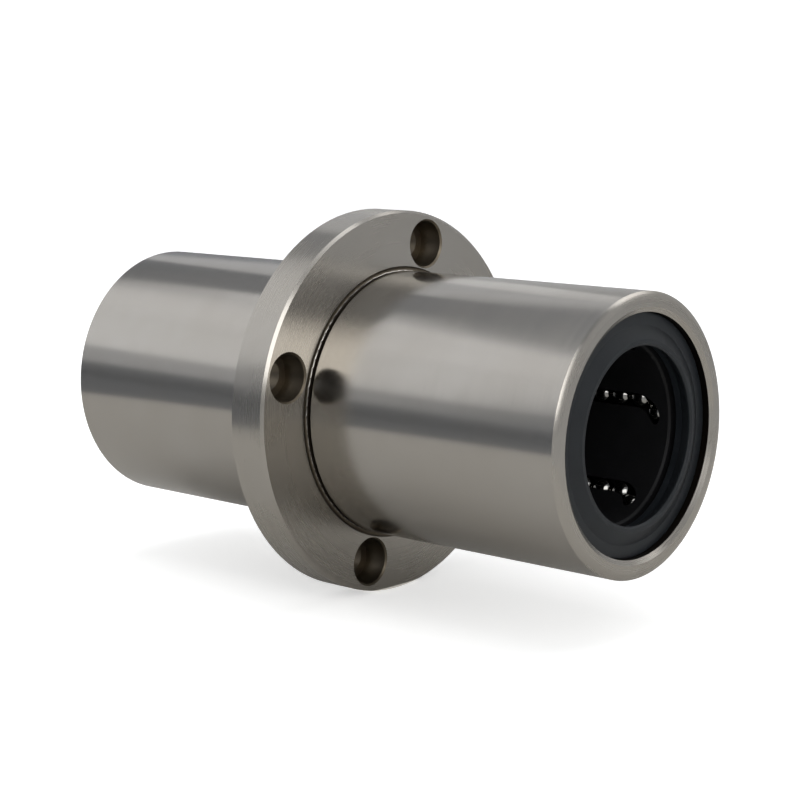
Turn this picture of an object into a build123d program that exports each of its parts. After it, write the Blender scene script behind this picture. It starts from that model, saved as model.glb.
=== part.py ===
"""Linear ball bushing with a centre flange, double length, for a 50 mm shaft.

The shaft lies along X through the origin, which is the middle of the flange and of the whole bushing.
+X is the end towards which the bolt heads are sunk, and +Z is up. All sizes are in millimetres.
Twelve endless ball circuits, six in each half, carry the shaft. In each circuit the balls roll along the
shaft in the load run, go round the outer turn, come back in the return run and go round the inner turn.
"""

import os
from math import atan2, cos, degrees, pi, radians, sin, sqrt

from build123d import *

# Shaft and ball circuits
shaft_d = 50.0
ball_d = 6.35
circuits = 6  # in each half
turn_balls = 3  # balls in each turn
ball_gap = 0.05  # between neighbouring balls in a turn
circuit_phase = 0.10  # how far the balls stand along their run at rest, as a share of one pitch
circuit_clocking = 11.5  # degrees from +Y towards +Z to the first load run

# Outer sleeve
sleeve_length = 192.0
sleeve_wall = 5.7  # outside the return balls' relief, which makes the sleeve 80 mm across
lead_length = 1.1  # rounded corner at each end of the sleeve, along the axis
lead_depth = 2.6  # the same corner, measured radially
lead_round = 0.7
mouth_chamfer_length = 0.9
mouth_chamfer_depth = 1.4
root_relief_r = 1.05  # grinding relief where the sleeve meets the flange
root_relief_x = 0.8  # its centre, from the flange's face
root_relief_h = 0.6  # its centre, above the sleeve's surface

# Flange and its bolts, which are centred on the flange's ring
flange_thickness = 13.0
flange_rim_chamfer = 0.8
bolt_count = 4
bolt_hole_d = 9.0
bolt_head_d = 14.0
bolt_head_edge = 2.0  # metal on each side of a sunk head: the flange is 116 mm across, its bolt circle 98 mm
bolt_head_depth = 8.1
bolt_clocking = 75.0  # degrees from +Y towards +Z to the first bolt
bolt_head_chamfer = 0.5
bolt_exit_chamfer = 0.3

# Ball retainers and the spacer between them
retainer_end_wall = 1.7
retainer_bore_chamfer = 0.6
spacer_min_length = 8.0

# Snap rings, and seals with their bonded steel stiffeners
ring_thickness = 1.4
ring_depth = 1.4  # into the sleeve's groove
ring_width = 3.3
ring_gap = 7.0
seal_recess = 2.8  # from the sleeve's end to the seal's outer face
seal_thickness = 4.25
seal_face_width = 3.8  # flat outer part of the seal's face
seal_nose_height = 1.8  # the nose stands this far out of the face
seal_nose_width = 1.1
seal_lip_width = 0.6
seal_lip_setback = 0.4  # from the nose to the lip
seal_throat_depth = 4.0  # from the nose to the throat's edge
seal_edge_round = 0.4
stiffener_width = 5.0
stiffener_thickness = 0.9
stiffener_rim_length = 2.2
stiffener_cover = 0.8  # rubber outside the stiffener

# Clearances
ball_play = 0.25  # ball to the retainer's channel, radially
raceway_clearance = 0.05  # ball to the sleeve's raceway, with the ball on the shaft
relief_clearance = 0.18  # return ball to the bottom of the sleeve's relief
slot_side_clearance = 0.3  # return ball to the side of its slot in the sleeve
retainer_clearance = 0.2  # retainer to the sleeve's raceway, radially
retainer_shaft_clearance = 0.6  # retainer to the shaft, radially
spacer_shaft_clearance = 1.2
lobe_clearance = 0.15  # retainer's keys, and the spacer, to the sleeve
seal_fit = 0.02  # seal to the sleeve's bore, radially
lip_fit = 0.02  # seal's lip to the shaft, radially
throat_clearance = 1.6  # seal's throat to the shaft, radially
ring_clearance = 0.1  # snap ring to its groove

# Worked out across the bushing: radii from the shaft outwards
shaft_r = shaft_d / 2
ball_r = ball_d / 2
load_height = shaft_r + ball_r
turn_r = (ball_d + ball_gap) / (2 * sin(pi / (2 * turn_balls)))
return_r = sqrt(load_height**2 + (2 * turn_r) ** 2)
return_angle = degrees(atan2(2 * turn_r, load_height))
slot_angle = 180 / circuits
slot_offset = return_r * sin(radians(slot_angle - return_angle))
slot_width = 2 * (abs(slot_offset) + ball_r + slot_side_clearance)
raceway_r = load_height + ball_r + raceway_clearance
relief_r = return_r + ball_r + relief_clearance
sleeve_r = relief_r + sleeve_wall
flange_width = bolt_head_d + 2 * bolt_head_edge
flange_r = sleeve_r + flange_width
flange_half = flange_thickness / 2
bolt_circle_r = sleeve_r + flange_width / 2
channel_r = ball_r + ball_play
channel_opening = relief_r - load_height + ball_play
retainer_r = raceway_r - retainer_clearance
retainer_bore_r = shaft_r + retainer_shaft_clearance
spacer_bore_r = shaft_r + spacer_shaft_clearance
lip_r = shaft_r + lip_fit
throat_r = shaft_r + throat_clearance
stiffener_r = relief_r - stiffener_cover

# Worked out along the bushing: places from the sleeve's end inwards, and how many balls fit between them
half_length = sleeve_length / 2
seal_face = half_length - seal_recess
seal_nose = seal_face + seal_nose_height
ring_end = seal_face - seal_thickness
retainer_end = ring_end - ring_thickness
turn_reach = turn_r + channel_r + retainer_end_wall
run_end = retainer_end - turn_reach
pitch = pi * turn_r / turn_balls
run_balls = int((run_end - turn_reach - spacer_min_length / 2) / pitch)
run_length = run_balls * pitch
run_start = run_end - run_length
run_middle = run_start + run_length / 2
retainer_start = run_start - turn_reach
sides = {"front": 1, "rear": -1}


def save(shape, name):
    """Names the finished piece and writes it."""
    shape.label = name
    export_step(shape, f"parts/{name}.step")


def circuit_plane(side, index):
    """The plane that the balls of one circuit roll in, flat over its load run.

    Its x points away from the flange, its y across to the return run, and its z outwards.
    """
    angle = radians(circuit_clocking + index * 360 / circuits)
    centre = (side * run_middle, load_height * cos(angle), load_height * sin(angle))
    return Plane(origin=centre, x_dir=(side, 0, 0), z_dir=(0, cos(angle), sin(angle)))


def end_section(side):
    """The plane through the axis that one end's round pieces are drawn on, with x away from the flange."""
    return Plane(origin=(0, 0, 0), x_dir=(side, 0, 0), z_dir=(0, -side, 0))


def circles_at(builder, x, radius):
    """The round edges of that radius which lie in the plane at x."""
    circles = builder.edges().filter_by(GeomType.CIRCLE)
    return circles.filter_by(lambda e: abs(e.radius - radius) < 0.01 and abs(e.center().X - x) < 0.01)


def keyed_section(radius, key_radius, key_width):
    """Draws a round section with one key in each gap between the load runs."""
    Circle(radius)
    with PolarLocations(0, circuits, start_angle=circuit_clocking + slot_angle):
        Rectangle(2 * key_radius, key_width, align=(Align.MIN, Align.CENTER))
    Circle(key_radius, mode=Mode.INTERSECT)


def stiffener_outline(mode):
    """Draws the stiffener's L section, which the seal leaves room for with Mode.SUBTRACT."""
    with Locations((ring_end, stiffener_r)):
        Rectangle(stiffener_thickness, stiffener_width, align=(Align.MIN, Align.MAX), mode=mode)
        Rectangle(stiffener_rim_length, stiffener_thickness, align=(Align.MIN, Align.MAX), mode=mode)


os.makedirs("parts", exist_ok=True)

# Outer sleeve: half of its section is drawn, mirrored about the flange's middle and turned about the shaft
with BuildPart() as outer_sleeve:
    with BuildSketch(Plane.XZ) as sleeve_section:
        with BuildLine():
            Polyline(
                (0, relief_r),
                (0, flange_r),
                (flange_half - flange_rim_chamfer, flange_r),
                (flange_half, flange_r - flange_rim_chamfer),
                (flange_half, sleeve_r),
                (half_length - lead_length, sleeve_r),
                (half_length, sleeve_r - lead_depth),
                (half_length, relief_r + mouth_chamfer_depth),
                (half_length - mouth_chamfer_length, relief_r),
                (run_end, relief_r),
                (run_end, raceway_r),
                (run_start, raceway_r),
                (run_start, relief_r),
                close=True,
            )
        make_face()
        corners = sleeve_section.vertices().filter_by(
            lambda v: v.Y > sleeve_r - lead_depth - 0.01 and v.X > half_length - lead_length - 0.01
        )
        fillet(corners, lead_round)
        with Locations((flange_half + root_relief_x, sleeve_r + root_relief_h)):
            Circle(root_relief_r, mode=Mode.SUBTRACT)
        with Locations((retainer_end - ring_clearance, relief_r)):
            Rectangle(
                ring_thickness + ring_clearance,
                ring_depth + ring_clearance,
                align=(Align.MIN, Align.MIN),
                mode=Mode.SUBTRACT,
            )
        mirror(about=Plane.YZ)
    revolve(axis=Axis.X)
    with BuildSketch(Plane.YZ.offset(-run_end)) as return_slots:
        keyed_section(raceway_r, relief_r, slot_width)
    extrude(amount=2 * run_end, mode=Mode.SUBTRACT)
    with Locations(Plane.YZ.offset(flange_half)):
        with PolarLocations(bolt_circle_r, bolt_count, start_angle=bolt_clocking):
            CounterBoreHole(bolt_hole_d / 2, bolt_head_d / 2, bolt_head_depth, depth=flange_thickness)
    chamfer(circles_at(outer_sleeve, flange_half, bolt_head_d / 2), bolt_head_chamfer)
    chamfer(circles_at(outer_sleeve, -flange_half, bolt_hole_d / 2), bolt_exit_chamfer)
save(outer_sleeve.part, "outer_sleeve")

# The channel of one circuit, as a solid to cut away: a racetrack that is round below and open outwards
with BuildPart() as ball_channel:
    with BuildSketch(Plane.YZ.offset(-run_length / 2)) as runs_section:
        with Locations((0, 0), (2 * turn_r, 0)):
            Circle(channel_r)
            Rectangle(2 * channel_r, channel_opening, align=(Align.CENTER, Align.MIN))
    extrude(amount=run_length)
    for end in (-1, 1):
        with BuildSketch(Plane.YZ.offset(end * run_length / 2)) as turn_section:
            Circle(channel_r)
            Rectangle(2 * channel_r, channel_opening, align=(Align.CENTER, Align.MIN))
        revolve(axis=Axis((end * run_length / 2, turn_r, 0), (0, 0, end)), revolution_arc=180)

# Ball retainers: keyed tubes of black resin. The rear one is the front one turned end for end
for side_name, side in sides.items():
    with BuildPart() as ball_retainer:
        with BuildSketch(Plane.YZ.offset(min(side * retainer_start, side * retainer_end))) as tube_section:
            keyed_section(retainer_r, relief_r - lobe_clearance, slot_width - 2 * lobe_clearance)
            Circle(retainer_bore_r, mode=Mode.SUBTRACT)
        extrude(amount=retainer_end - retainer_start)
        for end in (side * retainer_start, side * retainer_end):
            chamfer(circles_at(ball_retainer, end, retainer_bore_r), retainer_bore_chamfer)
        with Locations(*[circuit_plane(side, index) for index in range(circuits)]):
            add(ball_channel.part, mode=Mode.SUBTRACT)
    save(ball_retainer.part, f"{side_name}_ball_retainer")

# Centre spacer, in the sleeve's bore between the inner ends of the two retainers
with BuildPart() as centre_spacer:
    with BuildSketch(Plane.YZ.offset(-retainer_start)) as spacer_section:
        Circle(relief_r - lobe_clearance)
        Circle(spacer_bore_r, mode=Mode.SUBTRACT)
    extrude(amount=2 * retainer_start)
save(centre_spacer.part, "centre_spacer")

# Snap rings, seals and the steel stiffeners bonded into the seals, at both ends
for side_name, side in sides.items():
    with BuildPart() as snap_ring:
        with BuildSketch(end_section(side)) as ring_section:
            with Locations((retainer_end, relief_r + ring_depth)):
                Rectangle(ring_thickness, ring_width, align=(Align.MIN, Align.MAX))
        revolve(axis=Axis.X)
        with Locations((side * retainer_end, 0, -relief_r)):
            Box(4 * ring_thickness, ring_gap, 4 * ring_width, mode=Mode.SUBTRACT)
    save(snap_ring.part, f"{side_name}_snap_ring")

    with BuildPart() as seal_stiffener:
        with BuildSketch(end_section(side)) as stiffener_section:
            stiffener_outline(Mode.ADD)
        revolve(axis=Axis.X)
    save(seal_stiffener.part, f"{side_name}_seal_stiffener")

    with BuildPart() as seal:
        with BuildSketch(end_section(side)) as seal_section:
            with BuildLine():
                Polyline(
                    (ring_end, relief_r - seal_fit),
                    (seal_face, relief_r - seal_fit),
                    (seal_face, relief_r - seal_face_width),
                    (seal_nose, lip_r + seal_lip_width + seal_nose_width),
                    (seal_nose, lip_r + seal_lip_width),
                    (seal_nose - seal_lip_setback, lip_r),
                    (seal_nose - seal_lip_setback - seal_lip_width, lip_r),
                    (seal_nose - seal_throat_depth, throat_r),
                    (ring_end, throat_r),
                    close=True,
                )
            make_face()
            fillet(seal_section.vertices().group_by(Axis.Y)[-1].sort_by(Axis.X)[-1], seal_edge_round)
            stiffener_outline(Mode.SUBTRACT)
        revolve(axis=Axis.X)
    save(seal.part, f"{side_name}_seal")

# Balls. Every circuit is four nodes, because its two runs slide and its two turns swing
run_places = [(index + circuit_phase) * pitch - run_length / 2 for index in range(run_balls)]
turn_angles = [(index + circuit_phase) * pi / turn_balls for index in range(turn_balls)]
ball_groups = {
    "load_balls": [(x, 0, 0) for x in run_places],
    "return_balls": [(-x, 2 * turn_r, 0) for x in run_places],
    "outer_turn_balls": [
        (run_length / 2 + turn_r * sin(angle), turn_r - turn_r * cos(angle), 0) for angle in turn_angles
    ],
    "inner_turn_balls": [
        (-run_length / 2 - turn_r * sin(angle), turn_r + turn_r * cos(angle), 0) for angle in turn_angles
    ],
}
for side_name, side in sides.items():
    for index in range(circuits):
        for group_name, places in ball_groups.items():
            with BuildPart() as balls:
                with Locations(circuit_plane(side, index)):
                    with Locations(*places):
                        Sphere(ball_r)
            save(balls.part, f"{side_name}_{group_name}_{index + 1}")
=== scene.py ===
"""Linear ball bushing with a centre flange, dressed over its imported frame.

The shaft's axis is X, the bolt heads are sunk into the flange from +X, and +Z is up. Lengths are written in
millimetres, and mm turns them into metres, apart from the studio's, which are in metres already.
"""

from math import cos, pi, radians, sin, tan

import bmesh
import bpy
from mathutils import Matrix, Vector


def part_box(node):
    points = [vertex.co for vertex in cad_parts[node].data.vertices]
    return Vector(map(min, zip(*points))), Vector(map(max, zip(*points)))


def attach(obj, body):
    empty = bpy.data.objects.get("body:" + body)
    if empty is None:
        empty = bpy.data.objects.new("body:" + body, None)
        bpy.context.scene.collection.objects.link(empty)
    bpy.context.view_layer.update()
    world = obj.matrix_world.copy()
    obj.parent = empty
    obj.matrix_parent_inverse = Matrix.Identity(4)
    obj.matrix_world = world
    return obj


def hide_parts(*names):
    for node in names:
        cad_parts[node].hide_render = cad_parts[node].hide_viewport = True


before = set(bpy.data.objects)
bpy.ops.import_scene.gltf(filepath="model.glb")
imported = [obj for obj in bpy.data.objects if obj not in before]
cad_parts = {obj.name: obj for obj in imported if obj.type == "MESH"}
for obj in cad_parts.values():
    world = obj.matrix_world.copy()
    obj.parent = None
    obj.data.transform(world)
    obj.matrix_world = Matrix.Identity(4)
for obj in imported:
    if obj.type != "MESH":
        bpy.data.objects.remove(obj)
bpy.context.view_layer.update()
mm = 0.001

# Outer sleeve. One piece of bearing steel, through-hardened: turned with its flange, drilled and
# counterbored, and then ground on the outside and in the raceways. Its holes and relief grooves keep the
# brown of the furnace.
sleeve_r = 40.001
flange_half = 6.5
bolt_circle_r = 49.001
bolt_count = 4
bolt_clocking = 75.0  # degrees from +Y towards +Z
bolt_head_r = 7.0
bolt_head_chamfer = 0.5
flange_corner = 0.4  # the flange's root, up to where its turned surface begins
relief_depth = 0.3
relief_length = 2.0
relief_width = 1.4
mouth_r = 34.301
mouth_start = 86.0
half_length = 96.0
end_corner_length = 1.1
end_corner_r = 3.86  # an arc that runs from the end face and meets the ground surface at an edge
end_corner_steps = 7
end_face_slope = 0.95  # the least share of its normal along the axis that makes a face an end face
corner_margin = 0.1
on_surface = 0.02  # how near a face's middle lies to the plane or the cylinder that it belongs to
weld_distance = 0.0005
cut_distance = 0.002
grinding_line = 0.35  # between the lines that show; the real ones are 0.02 apart
turning_line = 0.45  # the real feed is 0.1
oil_patch = 28.0
round_variation = 14.0  # per metre: how soon a machining mark fades and returns as it goes round


def linear(colour):
    """A hex colour as it is named in sRGB, turned into the linear values that a shader mixes."""
    channels = [int(colour[i : i + 2], 16) / 255 for i in (1, 3, 5)]
    return [c / 12.92 if c <= 0.04045 else ((c + 0.055) / 1.055) ** 2.4 for c in channels] + [1.0]


def add_node(tree, kind, settings=None, inputs=None):
    """Adds a node, sets its properties, and gives its inputs their values or links."""
    node = tree.nodes.new(kind)
    for name, value in (settings or {}).items():
        setattr(node, name, value)
    for name, value in (inputs or {}).items():
        if isinstance(value, bpy.types.NodeSocket):
            tree.links.new(value, node.inputs[name])
        else:
            node.inputs[name].default_value = value
    return node


def new_material(name):
    """An empty node material and its tree."""
    material = bpy.data.materials.new(name)
    material.use_nodes = True
    material.node_tree.nodes.clear()
    return material, material.node_tree


def finish_material(tree, surface):
    """Joins the shader to the material's output."""
    add_node(tree, "ShaderNodeOutputMaterial", inputs={"Surface": surface.outputs[0]})


def around_axis(tree, place):
    """The direction round the shaft at a place, which machining marks follow."""
    turn = {"operation": "CROSS_PRODUCT"}
    return add_node(tree, "ShaderNodeVectorMath", turn, {0: (1, 0, 0), 1: place}).outputs[0]


def marks_round(tree, place, spacing):
    """Machining marks round the shaft: a noise that changes quickly with radius and place along the axis."""
    flat = add_node(tree, "ShaderNodeVectorMath", {"operation": "MULTIPLY"}, {0: place, 1: (0, 1, 1)})
    radius = add_node(tree, "ShaderNodeVectorMath", {"operation": "LENGTH"}, {0: flat.outputs[0]})
    along = add_node(tree, "ShaderNodeSeparateXYZ", inputs={0: place})
    sweep = add_node(
        tree,
        "ShaderNodeMath",
        {"operation": "ADD"},
        {0: radius.outputs["Value"], 1: along.outputs[0]},
    )
    across = add_node(
        tree,
        "ShaderNodeMath",
        {"operation": "MULTIPLY"},
        {0: sweep.outputs[0], 1: 1 / (spacing * mm)},
    )
    slow = add_node(
        tree,
        "ShaderNodeVectorMath",
        {"operation": "SCALE"},
        {0: flat.outputs[0], "Scale": round_variation},
    )
    noise = {
        "Vector": slow.outputs[0],
        "W": across.outputs[0],
        "Scale": 1.0,
        "Detail": 4.0,
        "Roughness": 0.65,
    }
    return add_node(tree, "ShaderNodeTexNoise", {"noise_dimensions": "4D"}, noise).outputs["Fac"]


def bearing_steel(name, base, oiled, roughness, spread, marks_spacing, marks_height, anisotropy):
    """Chromium bearing steel with marks round the shaft and a thin, uneven film of preserving oil."""
    material, tree = new_material(name)
    place = add_node(tree, "ShaderNodeTexCoord").outputs["Object"]
    marks = marks_round(tree, place, marks_spacing)
    oil = add_node(
        tree,
        "ShaderNodeTexNoise",
        inputs={"Vector": place, "Scale": 1 / (oil_patch * mm), "Detail": 3.0, "Roughness": 0.55},
    ).outputs["Fac"]
    tint = add_node(
        tree,
        "ShaderNodeMix",
        {"data_type": "RGBA"},
        {"Factor": oil, "A": linear(base), "B": linear(oiled)},
    )
    film = add_node(
        tree,
        "ShaderNodeMapRange",
        inputs={
            "Value": oil,
            "From Min": 0.3,
            "From Max": 0.7,
            "To Min": roughness,
            "To Max": roughness + spread,
        },
    )
    grain = add_node(
        tree,
        "ShaderNodeMapRange",
        inputs={"Value": marks, "From Min": 0.3, "From Max": 0.7, "To Min": 0.0, "To Max": spread},
    )
    rough = add_node(tree, "ShaderNodeMath", inputs={0: film.outputs[0], 1: grain.outputs[0]})
    bump = add_node(
        tree, "ShaderNodeBump", inputs={"Height": marks, "Strength": 1.0, "Distance": marks_height * mm}
    )
    shader = {
        "Base Color": tint.outputs["Result"],
        "Metallic": 1.0,
        "Roughness": rough.outputs[0],
        "Normal": bump.outputs[0],
        "Anisotropic": anisotropy,
        "Anisotropic Rotation": 0.25,
        "Tangent": around_axis(tree, place),
    }
    finish_material(tree, add_node(tree, "ShaderNodeBsdfPrincipled", inputs=shader))
    return material


# Ground: a low, even roughness with hairlines round the sleeve, so that lights show as soft bands along it.
ground_steel = bearing_steel(
    "ground_bearing_steel",
    base="#BEBBB6",
    oiled="#B5B0A8",
    roughness=0.14,
    spread=0.05,
    marks_spacing=grinding_line,
    marks_height=0.0020,
    anisotropy=0.6,
)
# Turned: deeper rings, which fan the light out from the flange's middle.
turned_steel = bearing_steel(
    "turned_bearing_steel",
    base="#BDBAB4",
    oiled="#B1ABA2",
    roughness=0.20,
    spread=0.06,
    marks_spacing=turning_line,
    marks_height=0.0042,
    anisotropy=0.7,
)
# As hardened: brown-grey scale that the grinding wheel never reached, rougher and much darker.
scaled_steel = bearing_steel(
    "hardened_bearing_steel_scale",
    base="#7D7466",
    oiled="#5A5246",
    roughness=0.36,
    spread=0.10,
    marks_spacing=turning_line,
    marks_height=0.0020,
    anisotropy=0.0,
)
# In the relief grooves and the mouth the steel keeps its brown scale, and its colour is darkened nearly to
# black as painted shade for these recesses.
relief_scale_and_painted_shade = bearing_steel(
    "relief_scale_with_painted_shade",
    base="#2C2620",
    oiled="#1C1815",
    roughness=0.42,
    spread=0.10,
    marks_spacing=turning_line,
    marks_height=0.0020,
    anisotropy=0.0,
)


def grouped_slopes(corners, blend):
    """Splits the corners that meet on one ring into groups of like slope, the largest faces first."""
    groups = []
    for corner in sorted(corners, key=lambda c: -c[0]):
        group = next((g for g in groups if g[0][1].angle(corner[1]) < blend), None)
        if group is None:
            groups.append([corner])
        else:
            group.append(corner)
    return groups


def shade_true(mesh, blend_angle=24.0, turned_slope=0.998, upright=0.0001):
    """Gives every ring of a turned face one slope, and straight walls their own, so that only roundings bend
    the light.

    A face counts as turned when its normal lies in the plane through its middle and the axis, so that the
    normal's length in that plane passes turned_slope. It counts as a wall when its normal's share along the
    axis is under upright.
    """
    blend = radians(blend_angle)
    walls = {}
    rings = {}
    normals = [corner.vector.copy() for corner in mesh.corner_normals]
    for face in mesh.polygons:
        places = [mesh.vertices[v].co for v in face.vertices]
        middle = Vector((0, face.center.y, face.center.z)).normalized()
        slope = Vector((face.normal.x, face.normal.dot(middle)))
        for i, loop in enumerate(face.loop_indices):
            if slope.length > turned_slope:
                across = Vector((0, places[i].y, places[i].z))
                ring = (round(places[i].x / mm, 2), round(across.length / mm, 2))
                rings.setdefault(ring, []).append((face.area, slope, loop, across.normalized()))
            elif abs(face.normal.x) < upright:
                corner = (places[i - 1] - places[i]).angle(places[(i + 1) % 3] - places[i], 0.0)
                walls.setdefault(face.vertices[i], []).append((face.normal * corner, loop))
    for corners in rings.values():
        for group in grouped_slopes(corners, blend):
            shared = sum((area * slope for area, slope, _, _ in group), Vector((0, 0))).normalized()
            for _, _, loop, out in group:
                normals[loop] = Vector((shared.x, 0, 0)) + out * shared.y
    for corners in walls.values():
        for _, loop in corners:
            near = [weighed for weighed, _ in corners if weighed.angle(normals[loop], pi) < blend]
            normals[loop] = sum(near, Vector()).normalized() if near else normals[loop]
    mesh.normals_split_custom_set(normals)


def merged_copy(node_name, piece_name, materials, sharp_angle=28.0, reshape=None):
    """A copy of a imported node's triangles, joined where they meet and smooth between its sharp edges."""
    mesh = bpy.data.meshes.new(piece_name)
    shape = bmesh.new()
    shape.from_mesh(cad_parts[node_name].data)
    bmesh.ops.remove_doubles(shape, verts=shape.verts, dist=weld_distance * mm)
    bmesh.ops.dissolve_degenerate(shape, edges=shape.edges, dist=weld_distance * mm)
    if reshape:
        reshape(shape)
    for face in shape.faces:
        face.smooth = True
    shape.to_mesh(mesh)
    shape.free()
    if "custom_normal" in mesh.attributes:
        mesh.attributes.remove(mesh.attributes["custom_normal"])
    mesh.set_sharp_from_angle(angle=radians(sharp_angle))
    shade_true(mesh)
    mesh.materials.clear()
    for material in materials:
        mesh.materials.append(material)
    piece = bpy.data.objects.new(piece_name, mesh)
    bpy.context.scene.collection.objects.link(piece)
    return piece


def fit(piece, node_name, body):
    """Puts a finished piece on its body, in place of its node."""
    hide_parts(node_name)
    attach(piece, body)


bolt_angles = [radians(bolt_clocking + 360 / bolt_count * i) for i in range(bolt_count)]
bolt_centres = [Vector((0, bolt_circle_r * cos(a), bolt_circle_r * sin(a))) * mm for a in bolt_angles]


def sleeve_surface(face):
    """Which finish a face of the sleeve has: 0 ground, 1 turned, 2 as hardened, 3 relief or mouth, darkened
    with painted shade.
    """
    across = Vector((0, face.center.y, face.center.z))
    radius = across.length / mm
    x = abs(face.center.x) / mm
    faces_along = abs(face.normal.x) > end_face_slope
    from_bolt = min((across - bolt).length for bolt in bolt_centres) / mm
    if from_bolt < bolt_head_r + bolt_head_chamfer and not (faces_along and x > flange_half - on_surface):
        return 2
    beside_flange = flange_half - relief_depth < x < flange_half + relief_length
    in_relief = beside_flange and radius < sleeve_r + relief_width
    if in_relief and abs(x - flange_half) > on_surface and abs(radius - sleeve_r) > on_surface:
        return 2 if radius > sleeve_r else 3
    if x > mouth_start and radius < mouth_r + on_surface:
        return 3
    if radius > sleeve_r + flange_corner or faces_along or x > half_length - end_corner_length:
        return 1
    return 0


def round_ends(shape):
    """Turns the corner at each end of the sleeve to one arc."""
    start = half_length - end_corner_length
    face_r = sleeve_r - (end_corner_r**2 - (end_corner_r - end_corner_length) ** 2) ** 0.5
    for side in (-1, 1):
        for step in range(end_corner_steps):
            everything = shape.verts[:] + shape.edges[:] + shape.faces[:]
            cut = (side * (start + end_corner_length * step / end_corner_steps) * mm, 0, 0)
            bmesh.ops.bisect_plane(
                shape,
                geom=everything,
                dist=cut_distance * mm,
                plane_co=cut,
                plane_no=(1, 0, 0),
            )
    for vertex in shape.verts:
        across = Vector((0, vertex.co.y, vertex.co.z))
        x = abs(vertex.co.x) / mm
        if x < start - end_corner_length / 2 or across.length < (face_r - corner_margin) * mm:
            continue
        along = min(end_corner_r, max(x, start) - half_length + end_corner_r)
        radius = face_r + (end_corner_r**2 - along**2) ** 0.5
        vertex.co = Vector((vertex.co.x, 0, 0)) + across.normalized() * min(radius, sleeve_r) * mm
    bmesh.ops.triangulate(shape, faces=shape.faces)


outer_sleeve = merged_copy(
    "outer_sleeve",
    "sleeve_with_flange",
    [ground_steel, turned_steel, scaled_steel, relief_scale_and_painted_shade],
    reshape=round_ends,
)
for face in outer_sleeve.data.polygons:
    face.material_index = sleeve_surface(face)
fit(outer_sleeve, "outer_sleeve", "sleeve_assembly")

# Ball retainers and the spacer between them. Injection-moulded acetal resin, black and satin, keyed into the
# sleeve's slots, with an oval channel for each circuit of balls.
resin_flow = 9.0
resin_grain = 0.6
resin, tree = new_material("moulded_black_acetal")
place = add_node(tree, "ShaderNodeTexCoord").outputs["Object"]
flow = add_node(
    tree,
    "ShaderNodeTexNoise",
    inputs={"Vector": place, "Scale": 1 / (resin_flow * mm), "Detail": 4.0, "Distortion": 0.6},
).outputs["Fac"]
skin = add_node(
    tree, "ShaderNodeTexNoise", inputs={"Vector": place, "Scale": 1 / (resin_grain * mm), "Detail": 2.0}
).outputs["Fac"]
tint = add_node(
    tree,
    "ShaderNodeMix",
    {"data_type": "RGBA"},
    {"Factor": flow, "A": linear("#0A0A0B"), "B": linear("#131315")},
)
rough = add_node(tree, "ShaderNodeMapRange", inputs={"Value": skin, "To Min": 0.46, "To Max": 0.66})
bump = add_node(tree, "ShaderNodeBump", inputs={"Height": skin, "Strength": 0.6, "Distance": 0.01 * mm})
shader = {
    "Base Color": tint.outputs["Result"],
    "Roughness": rough.outputs[0],
    "IOR": 1.48,
    "Specular IOR Level": 0.22,
    "Normal": bump.outputs[0],
}
finish_material(tree, add_node(tree, "ShaderNodeBsdfPrincipled", inputs=shader))
for node_name in ("front_ball_retainer", "rear_ball_retainer", "centre_spacer"):
    fit(merged_copy(node_name, f"{node_name}_moulding", [resin]), node_name, "sleeve_assembly")

# Balls. Chromium bearing steel, lapped to a mirror. Each circuit is four groups that follow one another round
# its oval channel: out along the load run, round the outer turn, back along the return run and round the
# inner turn.
ball_d = 6.35
ball_pitch = 6.702064
ball_phase = 0.10  # how far the first ball stands into its pitch, as a share of it
run_balls = 9
turn_balls = 3
turn_r = 6.4
run_start = 15.706  # from the flange's middle
load_height = 28.175  # from the axis to the balls' centres
circuits = 6
circuit_clocking = 11.5  # degrees from +Y towards +Z
turn_steps = 32
haze_patch = 3.0
ball_grid = 5  # vertices along each edge of the block that is swollen to a ball

lapped_steel, tree = new_material("lapped_ball_steel")
place = add_node(tree, "ShaderNodeTexCoord").outputs["Object"]
haze = add_node(
    tree, "ShaderNodeTexNoise", inputs={"Vector": place, "Scale": 1 / (haze_patch * mm), "Detail": 3.0}
).outputs["Fac"]
rough = add_node(tree, "ShaderNodeMapRange", inputs={"Value": haze, "To Min": 0.03, "To Max": 0.08})
tint = add_node(
    tree,
    "ShaderNodeMix",
    {"data_type": "RGBA"},
    {"Factor": haze, "A": linear("#A9A8A5"), "B": linear("#9B9994")},
)
shader = {"Base Color": tint.outputs["Result"], "Metallic": 1.0, "Roughness": rough.outputs[0]}
finish_material(tree, add_node(tree, "ShaderNodeBsdfPrincipled", inputs=shader))

balls_tree = bpy.data.node_groups.new("balls along a path", "GeometryNodeTree")
sockets = {}
for name, kind in (
    ("Path", "NodeSocketGeometry"),
    ("Balls", "NodeSocketInt"),
    ("Pitch", "NodeSocketFloat"),
    ("Phase", "NodeSocketFloat"),
    ("Ball Diameter", "NodeSocketFloat"),
    ("Finish", "NodeSocketMaterial"),
):
    sockets[name] = balls_tree.interface.new_socket(name, in_out="INPUT", socket_type=kind)
balls_tree.interface.new_socket("Balls", in_out="OUTPUT", socket_type="NodeSocketGeometry")
given = add_node(balls_tree, "NodeGroupInput").outputs
index = add_node(balls_tree, "GeometryNodeInputIndex").outputs[0]
step = add_node(balls_tree, "ShaderNodeMath", {"operation": "ADD"}, {0: index, 1: given["Phase"]})
reach = add_node(
    balls_tree,
    "ShaderNodeMath",
    {"operation": "MULTIPLY"},
    {0: step.outputs[0], 1: given["Pitch"]},
)
on_path = add_node(
    balls_tree,
    "GeometryNodeSampleCurve",
    {"mode": "LENGTH"},
    {"Curves": given["Path"], "Length": reach.outputs[0]},
)
points = add_node(
    balls_tree,
    "GeometryNodePoints",
    inputs={"Count": given["Balls"], "Position": on_path.outputs["Position"]},
)
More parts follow.
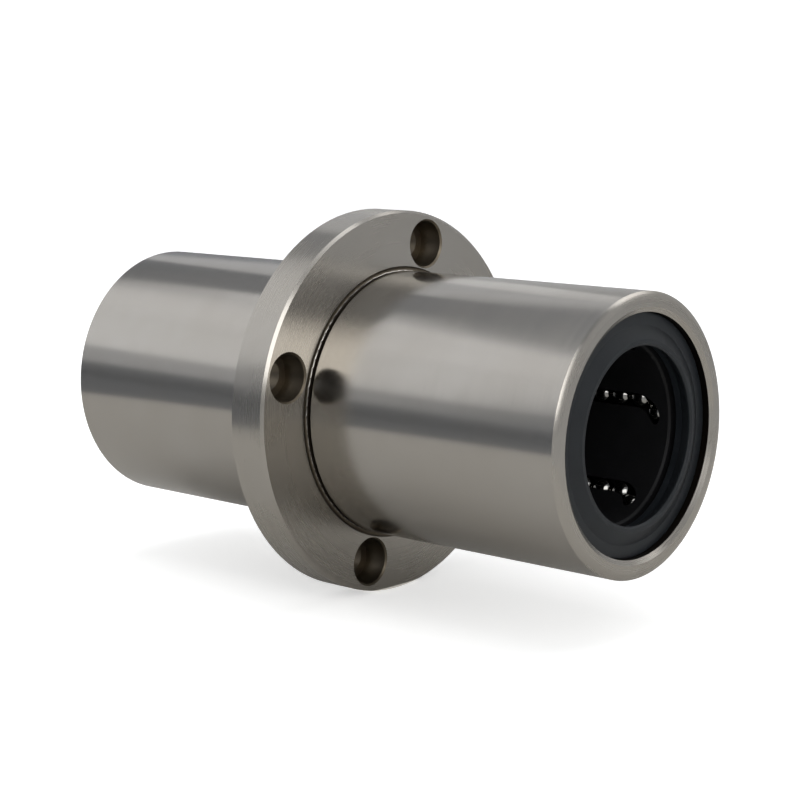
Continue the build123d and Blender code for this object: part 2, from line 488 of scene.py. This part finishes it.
block = add_node(
    balls_tree,
    "GeometryNodeMeshCube",
    inputs={"Vertices X": ball_grid, "Vertices Y": ball_grid, "Vertices Z": ball_grid},
)
block_place = add_node(balls_tree, "GeometryNodeInputPosition").outputs[0]
outward = add_node(balls_tree, "ShaderNodeVectorMath", {"operation": "NORMALIZE"}, {0: block_place})
radius = add_node(
    balls_tree, "ShaderNodeMath", {"operation": "MULTIPLY"}, {0: given["Ball Diameter"], 1: 0.5}
)
swollen = add_node(
    balls_tree,
    "ShaderNodeVectorMath",
    {"operation": "SCALE"},
    {0: outward.outputs[0], "Scale": radius.outputs[0]},
)
ball = add_node(
    balls_tree,
    "GeometryNodeSetPosition",
    inputs={"Geometry": block.outputs["Mesh"], "Position": swollen.outputs[0]},
)
placed = add_node(
    balls_tree,
    "GeometryNodeInstanceOnPoints",
    inputs={"Points": points.outputs[0], "Instance": ball.outputs[0]},
)
real = add_node(balls_tree, "GeometryNodeRealizeInstances", inputs={0: placed.outputs[0]})
smooth = add_node(balls_tree, "GeometryNodeSetShadeSmooth", inputs={"Geometry": real.outputs[0]})
finished = add_node(
    balls_tree, "GeometryNodeSetMaterial", inputs={"Geometry": smooth.outputs[0], "Material": given["Finish"]}
)
add_node(balls_tree, "NodeGroupOutput", inputs={0: finished.outputs[0]})

run_length = run_balls * ball_pitch
turn_angles = [pi * i / turn_steps for i in range(turn_steps + 1)]
circuit_paths = {
    "load_balls": ([(0, 0), (run_length, 0)], run_balls),
    "outer_turn_balls": (
        [(run_length + turn_r * sin(a), turn_r - turn_r * cos(a)) for a in turn_angles],
        turn_balls,
    ),
    "return_balls": ([(run_length, 2 * turn_r), (0, 2 * turn_r)], run_balls),
    "inner_turn_balls": ([(-turn_r * sin(a), turn_r + turn_r * cos(a)) for a in turn_angles], turn_balls),
}


def circuit_place(side, index):
    """Turns a circuit's flat drawing into its place: x away from the flange, y across to its return run."""
    angle = radians(circuit_clocking + index * 360 / circuits)
    out = Vector((0, cos(angle), sin(angle)))
    away = Vector((side, 0, 0))
    place = Matrix((away, out.cross(away), out)).transposed().to_4x4()
    place.translation = (Vector((side * run_start, 0, 0)) + load_height * out) * mm
    return place


def ball_group(name, path, count, place):
    """One group of balls, as a plain mesh in its place."""
    line = bpy.data.curves.new(name, "CURVE")
    line.dimensions = "3D"
    spline = line.splines.new("POLY")
    spline.points.add(len(path) - 1)
    for point, (x, y) in zip(spline.points, path):
        point.co = (x * mm, y * mm, 0, 1)
    holder = bpy.data.objects.new(name, line)
    bpy.context.scene.collection.objects.link(holder)
    modifier = holder.modifiers.new("balls", "NODES")
    modifier.node_group = balls_tree
    modifier[sockets["Balls"].identifier] = count
    modifier[sockets["Pitch"].identifier] = ball_pitch * mm
    modifier[sockets["Phase"].identifier] = ball_phase
    modifier[sockets["Ball Diameter"].identifier] = ball_d * mm
    modifier[sockets["Finish"].identifier] = lapped_steel
    seen = holder.evaluated_get(bpy.context.evaluated_depsgraph_get())
    mesh = bpy.data.meshes.new_from_object(seen)
    bpy.data.objects.remove(holder)
    mesh.transform(place)
    mesh.name = name
    piece = bpy.data.objects.new(name, mesh)
    bpy.context.scene.collection.objects.link(piece)
    return piece


for side_name, side in (("front", 1), ("rear", -1)):
    for index in range(circuits):
        for group_name, (path, count) in circuit_paths.items():
            node_name = f"{side_name}_{group_name}_{index + 1}"
            balls = ball_group(f"{node_name}_lapped", path, count, circuit_place(side, index))
            fit(balls, node_name, node_name)

# Snap rings and seal stiffeners. Spring steel strip and pressed sheet, phosphated dark grey. A ring in its
# groove holds each retainer, and a stiffener inside each seal keeps it round.
phosphate_crystal = 0.25
phosphate, tree = new_material("phosphated_spring_steel")
place = add_node(tree, "ShaderNodeTexCoord").outputs["Object"]
crystals = add_node(
    tree,
    "ShaderNodeTexVoronoi",
    inputs={"Vector": place, "Scale": 1 / (phosphate_crystal * mm), "Randomness": 1.0},
).outputs["Distance"]
tint = add_node(
    tree,
    "ShaderNodeMix",
    {"data_type": "RGBA"},
    {"Factor": crystals, "A": linear("#35363A"), "B": linear("#505258")},
)
bump = add_node(tree, "ShaderNodeBump", inputs={"Height": crystals, "Strength": 0.5, "Distance": 0.004 * mm})
shader = {
    "Base Color": tint.outputs["Result"],
    "Metallic": 0.75,
    "Roughness": 0.5,
    "Normal": bump.outputs[0],
}
finish_material(tree, add_node(tree, "ShaderNodeBsdfPrincipled", inputs=shader))
for side_name in ("front", "rear"):
    for kind in ("snap_ring", "seal_stiffener"):
        node_name = f"{side_name}_{kind}"
        piece = merged_copy(node_name, f"{node_name}_phosphated", [phosphate])
        fit(piece, node_name, "sleeve_assembly")

# Seals. Moulded nitrile rubber, dark grey and matt, pressed into the sleeve's mouth. A flat outer ring, a
# nose that rises from it, and a thin lip that wipes the shaft.
rubber_bloom = 7.0
rubber_grain = 0.35
seal_sharp_angle = 35.0
seal_profile = (
    (0.0, 34.281, 0.0),
    (4.25, 34.281, 0.45),
    (4.25, 30.55, 0.5),
    (6.05, 26.74, 0.35),
    (6.05, 25.64, 0.25),
    (5.62, 25.03, 0.08),
    (5.05, 25.03, 0.08),
    (2.05, 26.6, 0.4),
    (0.0, 26.6, 0.0),
    (0.0, 28.5, 0.0),
    (0.9, 28.5, 0.0),
    (0.9, 32.6, 0.0),
    (2.2, 32.6, 0.0),
    (2.2, 33.5, 0.0),
    (0.0, 33.5, 0.0),
)  # from the seal's inner face outwards, radius, and the rounding of that corner
corner_steps = 5
seal_segments = 256


def rounded(profile, steps):
    """A closed profile with an arc in place of each corner that has a radius."""
    points = []
    for i, (x, r, rounding) in enumerate(profile):
        corner = Vector((x, r))
        back = Vector(profile[i - 1][:2]) - corner
        ahead = Vector(profile[(i + 1) % len(profile)][:2]) - corner
        if not rounding:
            points.append(corner)
            continue
        half = back.angle(ahead) / 2
        start = corner + back.normalized() * rounding / tan(half)
        end = corner + ahead.normalized() * rounding / tan(half)
        for step in range(steps + 1):
            t = step / steps
            points.append((1 - t) ** 2 * start + 2 * t * (1 - t) * corner + t**2 * end)
    return points


def turned_ring(name, profile, segments, start, side):
    """A ring whose closed profile is turned about the shaft's axis."""
    shape = bmesh.new()
    rings = []
    for segment in range(segments):
        angle = 2 * pi * segment / segments
        across, up = cos(angle) * mm, sin(angle) * mm
        rings.append([shape.verts.new((start + side * x * mm, r * across, r * up)) for x, r in profile])
    for segment in range(segments):
        here = rings[segment]
        there = rings[(segment + 1) % segments]
        for i in range(len(profile)):
            j = (i + 1) % len(profile)
            shape.faces.new((here[i], here[j], there[j], there[i]))
    bmesh.ops.recalc_face_normals(shape, faces=shape.faces)
    for face in shape.faces:
        face.smooth = True
    mesh = bpy.data.meshes.new(name)
    shape.to_mesh(mesh)
    shape.free()
    mesh.set_sharp_from_angle(angle=radians(seal_sharp_angle))
    piece = bpy.data.objects.new(name, mesh)
    bpy.context.scene.collection.objects.link(piece)
    return piece


rubber, tree = new_material("moulded_nitrile_rubber")
place = add_node(tree, "ShaderNodeTexCoord").outputs["Object"]
bloom = add_node(
    tree,
    "ShaderNodeTexNoise",
    inputs={"Vector": place, "Scale": 1 / (rubber_bloom * mm), "Detail": 5.0, "Roughness": 0.6},
).outputs["Fac"]
skin = add_node(
    tree, "ShaderNodeTexNoise", inputs={"Vector": place, "Scale": 1 / (rubber_grain * mm), "Detail": 2.0}
).outputs["Fac"]
tint = add_node(
    tree,
    "ShaderNodeMix",
    {"data_type": "RGBA"},
    {"Factor": bloom, "A": linear("#111417"), "B": linear("#1B1F23")},
)
rough = add_node(tree, "ShaderNodeMapRange", inputs={"Value": bloom, "To Min": 0.36, "To Max": 0.52})
bump = add_node(tree, "ShaderNodeBump", inputs={"Height": skin, "Strength": 0.5, "Distance": 0.012 * mm})
shader = {
    "Base Color": tint.outputs["Result"],
    "Roughness": rough.outputs[0],
    "IOR": 1.52,
    "Specular IOR Level": 0.35,
    "Normal": bump.outputs[0],
}
finish_material(tree, add_node(tree, "ShaderNodeBsdfPrincipled", inputs=shader))
for side_name, side in (("front", 1), ("rear", -1)):
    low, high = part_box(f"{side_name}_seal")
    start = low.x if side > 0 else high.x
    profile = rounded(seal_profile, corner_steps)
    seal = turned_ring(f"{side_name}_seal_rubber", profile, seal_segments, start, side)
    seal.data.materials.append(rubber)
    fit(seal, f"{side_name}_seal", "sleeve_assembly")

# Floor and cove. A sheet of pale painted paper that rises all round, as in a studio, with a little light of
# its own so that no side of it falls dark. The studio's lengths are in metres.
floor_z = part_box("outer_sleeve")[0].z
cove_radius = 2.2
cove_bend = 0.9
cove_height = 1.6
bend_steps = 12
studio_segments = 96
paper_fibre = 0.025


def turned_sheet(name, line, begin=0, sweep=360):
    """An open sheet turned about the upright axis: its line is (radius, height), its sweep is in degrees."""
    segments = studio_segments * sweep // 360
    steps = segments if sweep == 360 else segments + 1
    shape = bmesh.new()
    rings = []
    for radius, height in line:
        turns = [radians(begin + sweep * i / segments) for i in range(steps if radius else 1)]
        rings.append([shape.verts.new((radius * cos(a), radius * sin(a), floor_z + height)) for a in turns])
    for inner, outer in zip(rings, rings[1:]):
        for i in range(segments):
            j = (i + 1) % steps
            if len(inner) == 1:
                shape.faces.new((inner[0], outer[i], outer[j]))
            else:
                shape.faces.new((inner[i], outer[i], outer[j], inner[j]))
    for face in shape.faces:
        face.smooth = True
    mesh = bpy.data.meshes.new(name)
    shape.to_mesh(mesh)
    shape.free()
    sheet = bpy.data.objects.new(name, mesh)
    bpy.context.scene.collection.objects.link(sheet)
    return sheet


bend_angles = [pi / 2 * i / bend_steps for i in range(bend_steps + 1)]
cove_line = [(0.0, 0.0), (0.6, 0.0), (1.4, 0.0)]
cove_line += [(cove_radius + cove_bend * sin(a), cove_bend - cove_bend * cos(a)) for a in bend_angles]
cove_line.append((cove_radius + cove_bend, cove_height))
cove = turned_sheet("studio_cove", cove_line)
paper, tree = new_material("matt_painted_paper")
place = add_node(tree, "ShaderNodeTexCoord").outputs["Object"]
fibre = add_node(
    tree, "ShaderNodeTexNoise", inputs={"Vector": place, "Scale": 1 / paper_fibre, "Detail": 4.0}
).outputs["Fac"]
tint = add_node(
    tree,
    "ShaderNodeMix",
    {"data_type": "RGBA"},
    {"Factor": fibre, "A": linear("#EDEDEC"), "B": linear("#E8E8E7")},
)
shader = {
    "Base Color": tint.outputs["Result"],
    "Roughness": 0.9,
    "Emission Color": linear("#FFFFFF"),
    "Emission Strength": 0.48,
}
finish_material(tree, add_node(tree, "ShaderNodeBsdfPrincipled", inputs=shader))
cove.data.materials.append(paper)

# Studio light. Softboxes hung round the object, each given by where it stands and how large and bright it is.
softboxes = (
    # azimuth from -Y towards +X, elevation, distance, width, height, radiance
    ("key", -62, 33, 1.5, 1.50, 0.95, 0.42),
    ("key_glow", -60, 26, 1.6, 1.40, 1.15, 0.24),
    ("key_edge", -66, 50, 1.45, 1.10, 0.12, 0.50),
    ("top", 0, 90, 1.5, 1.4, 1.4, 1.6),
    ("back", 150, 40, 1.7, 0.9, 0.7, 1.6),
    ("rim", -132, 32, 1.8, 0.6, 0.9, 0.35),
    ("front", 54, 28, 1.6, 1.35, 1.05, 2.0),
)


def direction_to(azimuth, elevation):
    """The direction from the object to a place, by azimuth from -Y towards +X and elevation, in degrees."""
    a, e = radians(azimuth), radians(elevation)
    return Vector((sin(a) * cos(e), -cos(a) * cos(e), sin(e)))


for name, azimuth, elevation, distance, width, height, radiance in softboxes:
    light = bpy.data.lights.new(name, "AREA")
    light.shape = "RECTANGLE"
    light.size = width
    light.size_y = height
    light.energy = radiance * pi * width * height
    lamp = bpy.data.objects.new(name, light)
    direction = direction_to(azimuth, elevation)
    lamp.location = direction * distance
    lamp.rotation_euler = direction.to_track_quat("Z", "Y").to_euler()
    lamp.visible_camera = False
    bpy.context.scene.collection.objects.link(lamp)

# Cards. Bright metal is surrounded by boards that only its reflections show: a grey one under the object, a
# dark one out to the horizon on one side, which draws the dark line along the sleeve, pale ones on the other
# side, which light the flange's face, and a grey wall above.
card_lift = 0.001
table_card_radius = 0.32
wall_radius = 1.95
dark_wall_height = 0.21
wall_height = 1.5
dark_begin = -225
dark_sweep = 165
pale_begin = dark_begin + dark_sweep
pale_sweep = 360 - dark_sweep
table_line = [(0.0, card_lift), (table_card_radius, card_lift)]
outer_line = [(table_card_radius, card_lift), (wall_radius, card_lift), (wall_radius, dark_wall_height)]
wall_line = [(wall_radius, dark_wall_height), (wall_radius, wall_height)]
cards = (
    # colour, line of (radius, height), where it begins and how far it sweeps, in degrees
    ("grey_table_card", "#BEBCB8", table_line, 0, 360),
    ("dark_horizon_card", "#7A7C80", outer_line, dark_begin, dark_sweep),
    ("pale_horizon_card", "#B4B4B4", outer_line, pale_begin, pale_sweep),
    ("grey_wall_card", "#8A8C90", wall_line, dark_begin, dark_sweep),
    ("pale_wall_card", "#B4B4B4", wall_line, pale_begin, pale_sweep),
)
for name, colour, line, begin, sweep in cards:
    card = turned_sheet(name, line, begin, sweep)
    card.visible_camera = False
    card.visible_diffuse = False
    card.visible_transmission = False
    card.visible_shadow = False
    board, tree = new_material(name)
    shader = {"Base Color": linear(colour), "Roughness": 1.0, "Specular IOR Level": 0.0}
    finish_material(tree, add_node(tree, "ShaderNodeBsdfPrincipled", inputs=shader))
    card.data.materials.append(board)

world = bpy.data.worlds.new("studio")
bpy.context.scene.world = world
world.use_nodes = True
world.node_tree.nodes["Background"].inputs["Color"].default_value = linear("#8E9094")
world.node_tree.nodes["Background"].inputs["Strength"].default_value = 1.0
bpy.context.scene.view_settings.view_transform = "Standard"

# Camera: a long lens near the front end, a little above the axis.
camera_azimuth = 41.53
camera_elevation = 9.18
camera_distance = 0.5970
camera_aim = Vector((5.0, 2.4, 0.2)) * mm
camera_data = bpy.data.cameras.new("camera")
camera_data.sensor_width = 36.0
camera_data.lens = 88.11
camera_data.clip_start = 0.01
camera = bpy.data.objects.new("camera", camera_data)
towards = direction_to(camera_azimuth, camera_elevation)
camera.location = camera_aim + towards * camera_distance
camera.rotation_euler = towards.to_track_quat("Z", "Y").to_euler()
bpy.context.scene.collection.objects.link(camera)
bpy.context.scene.camera = camera
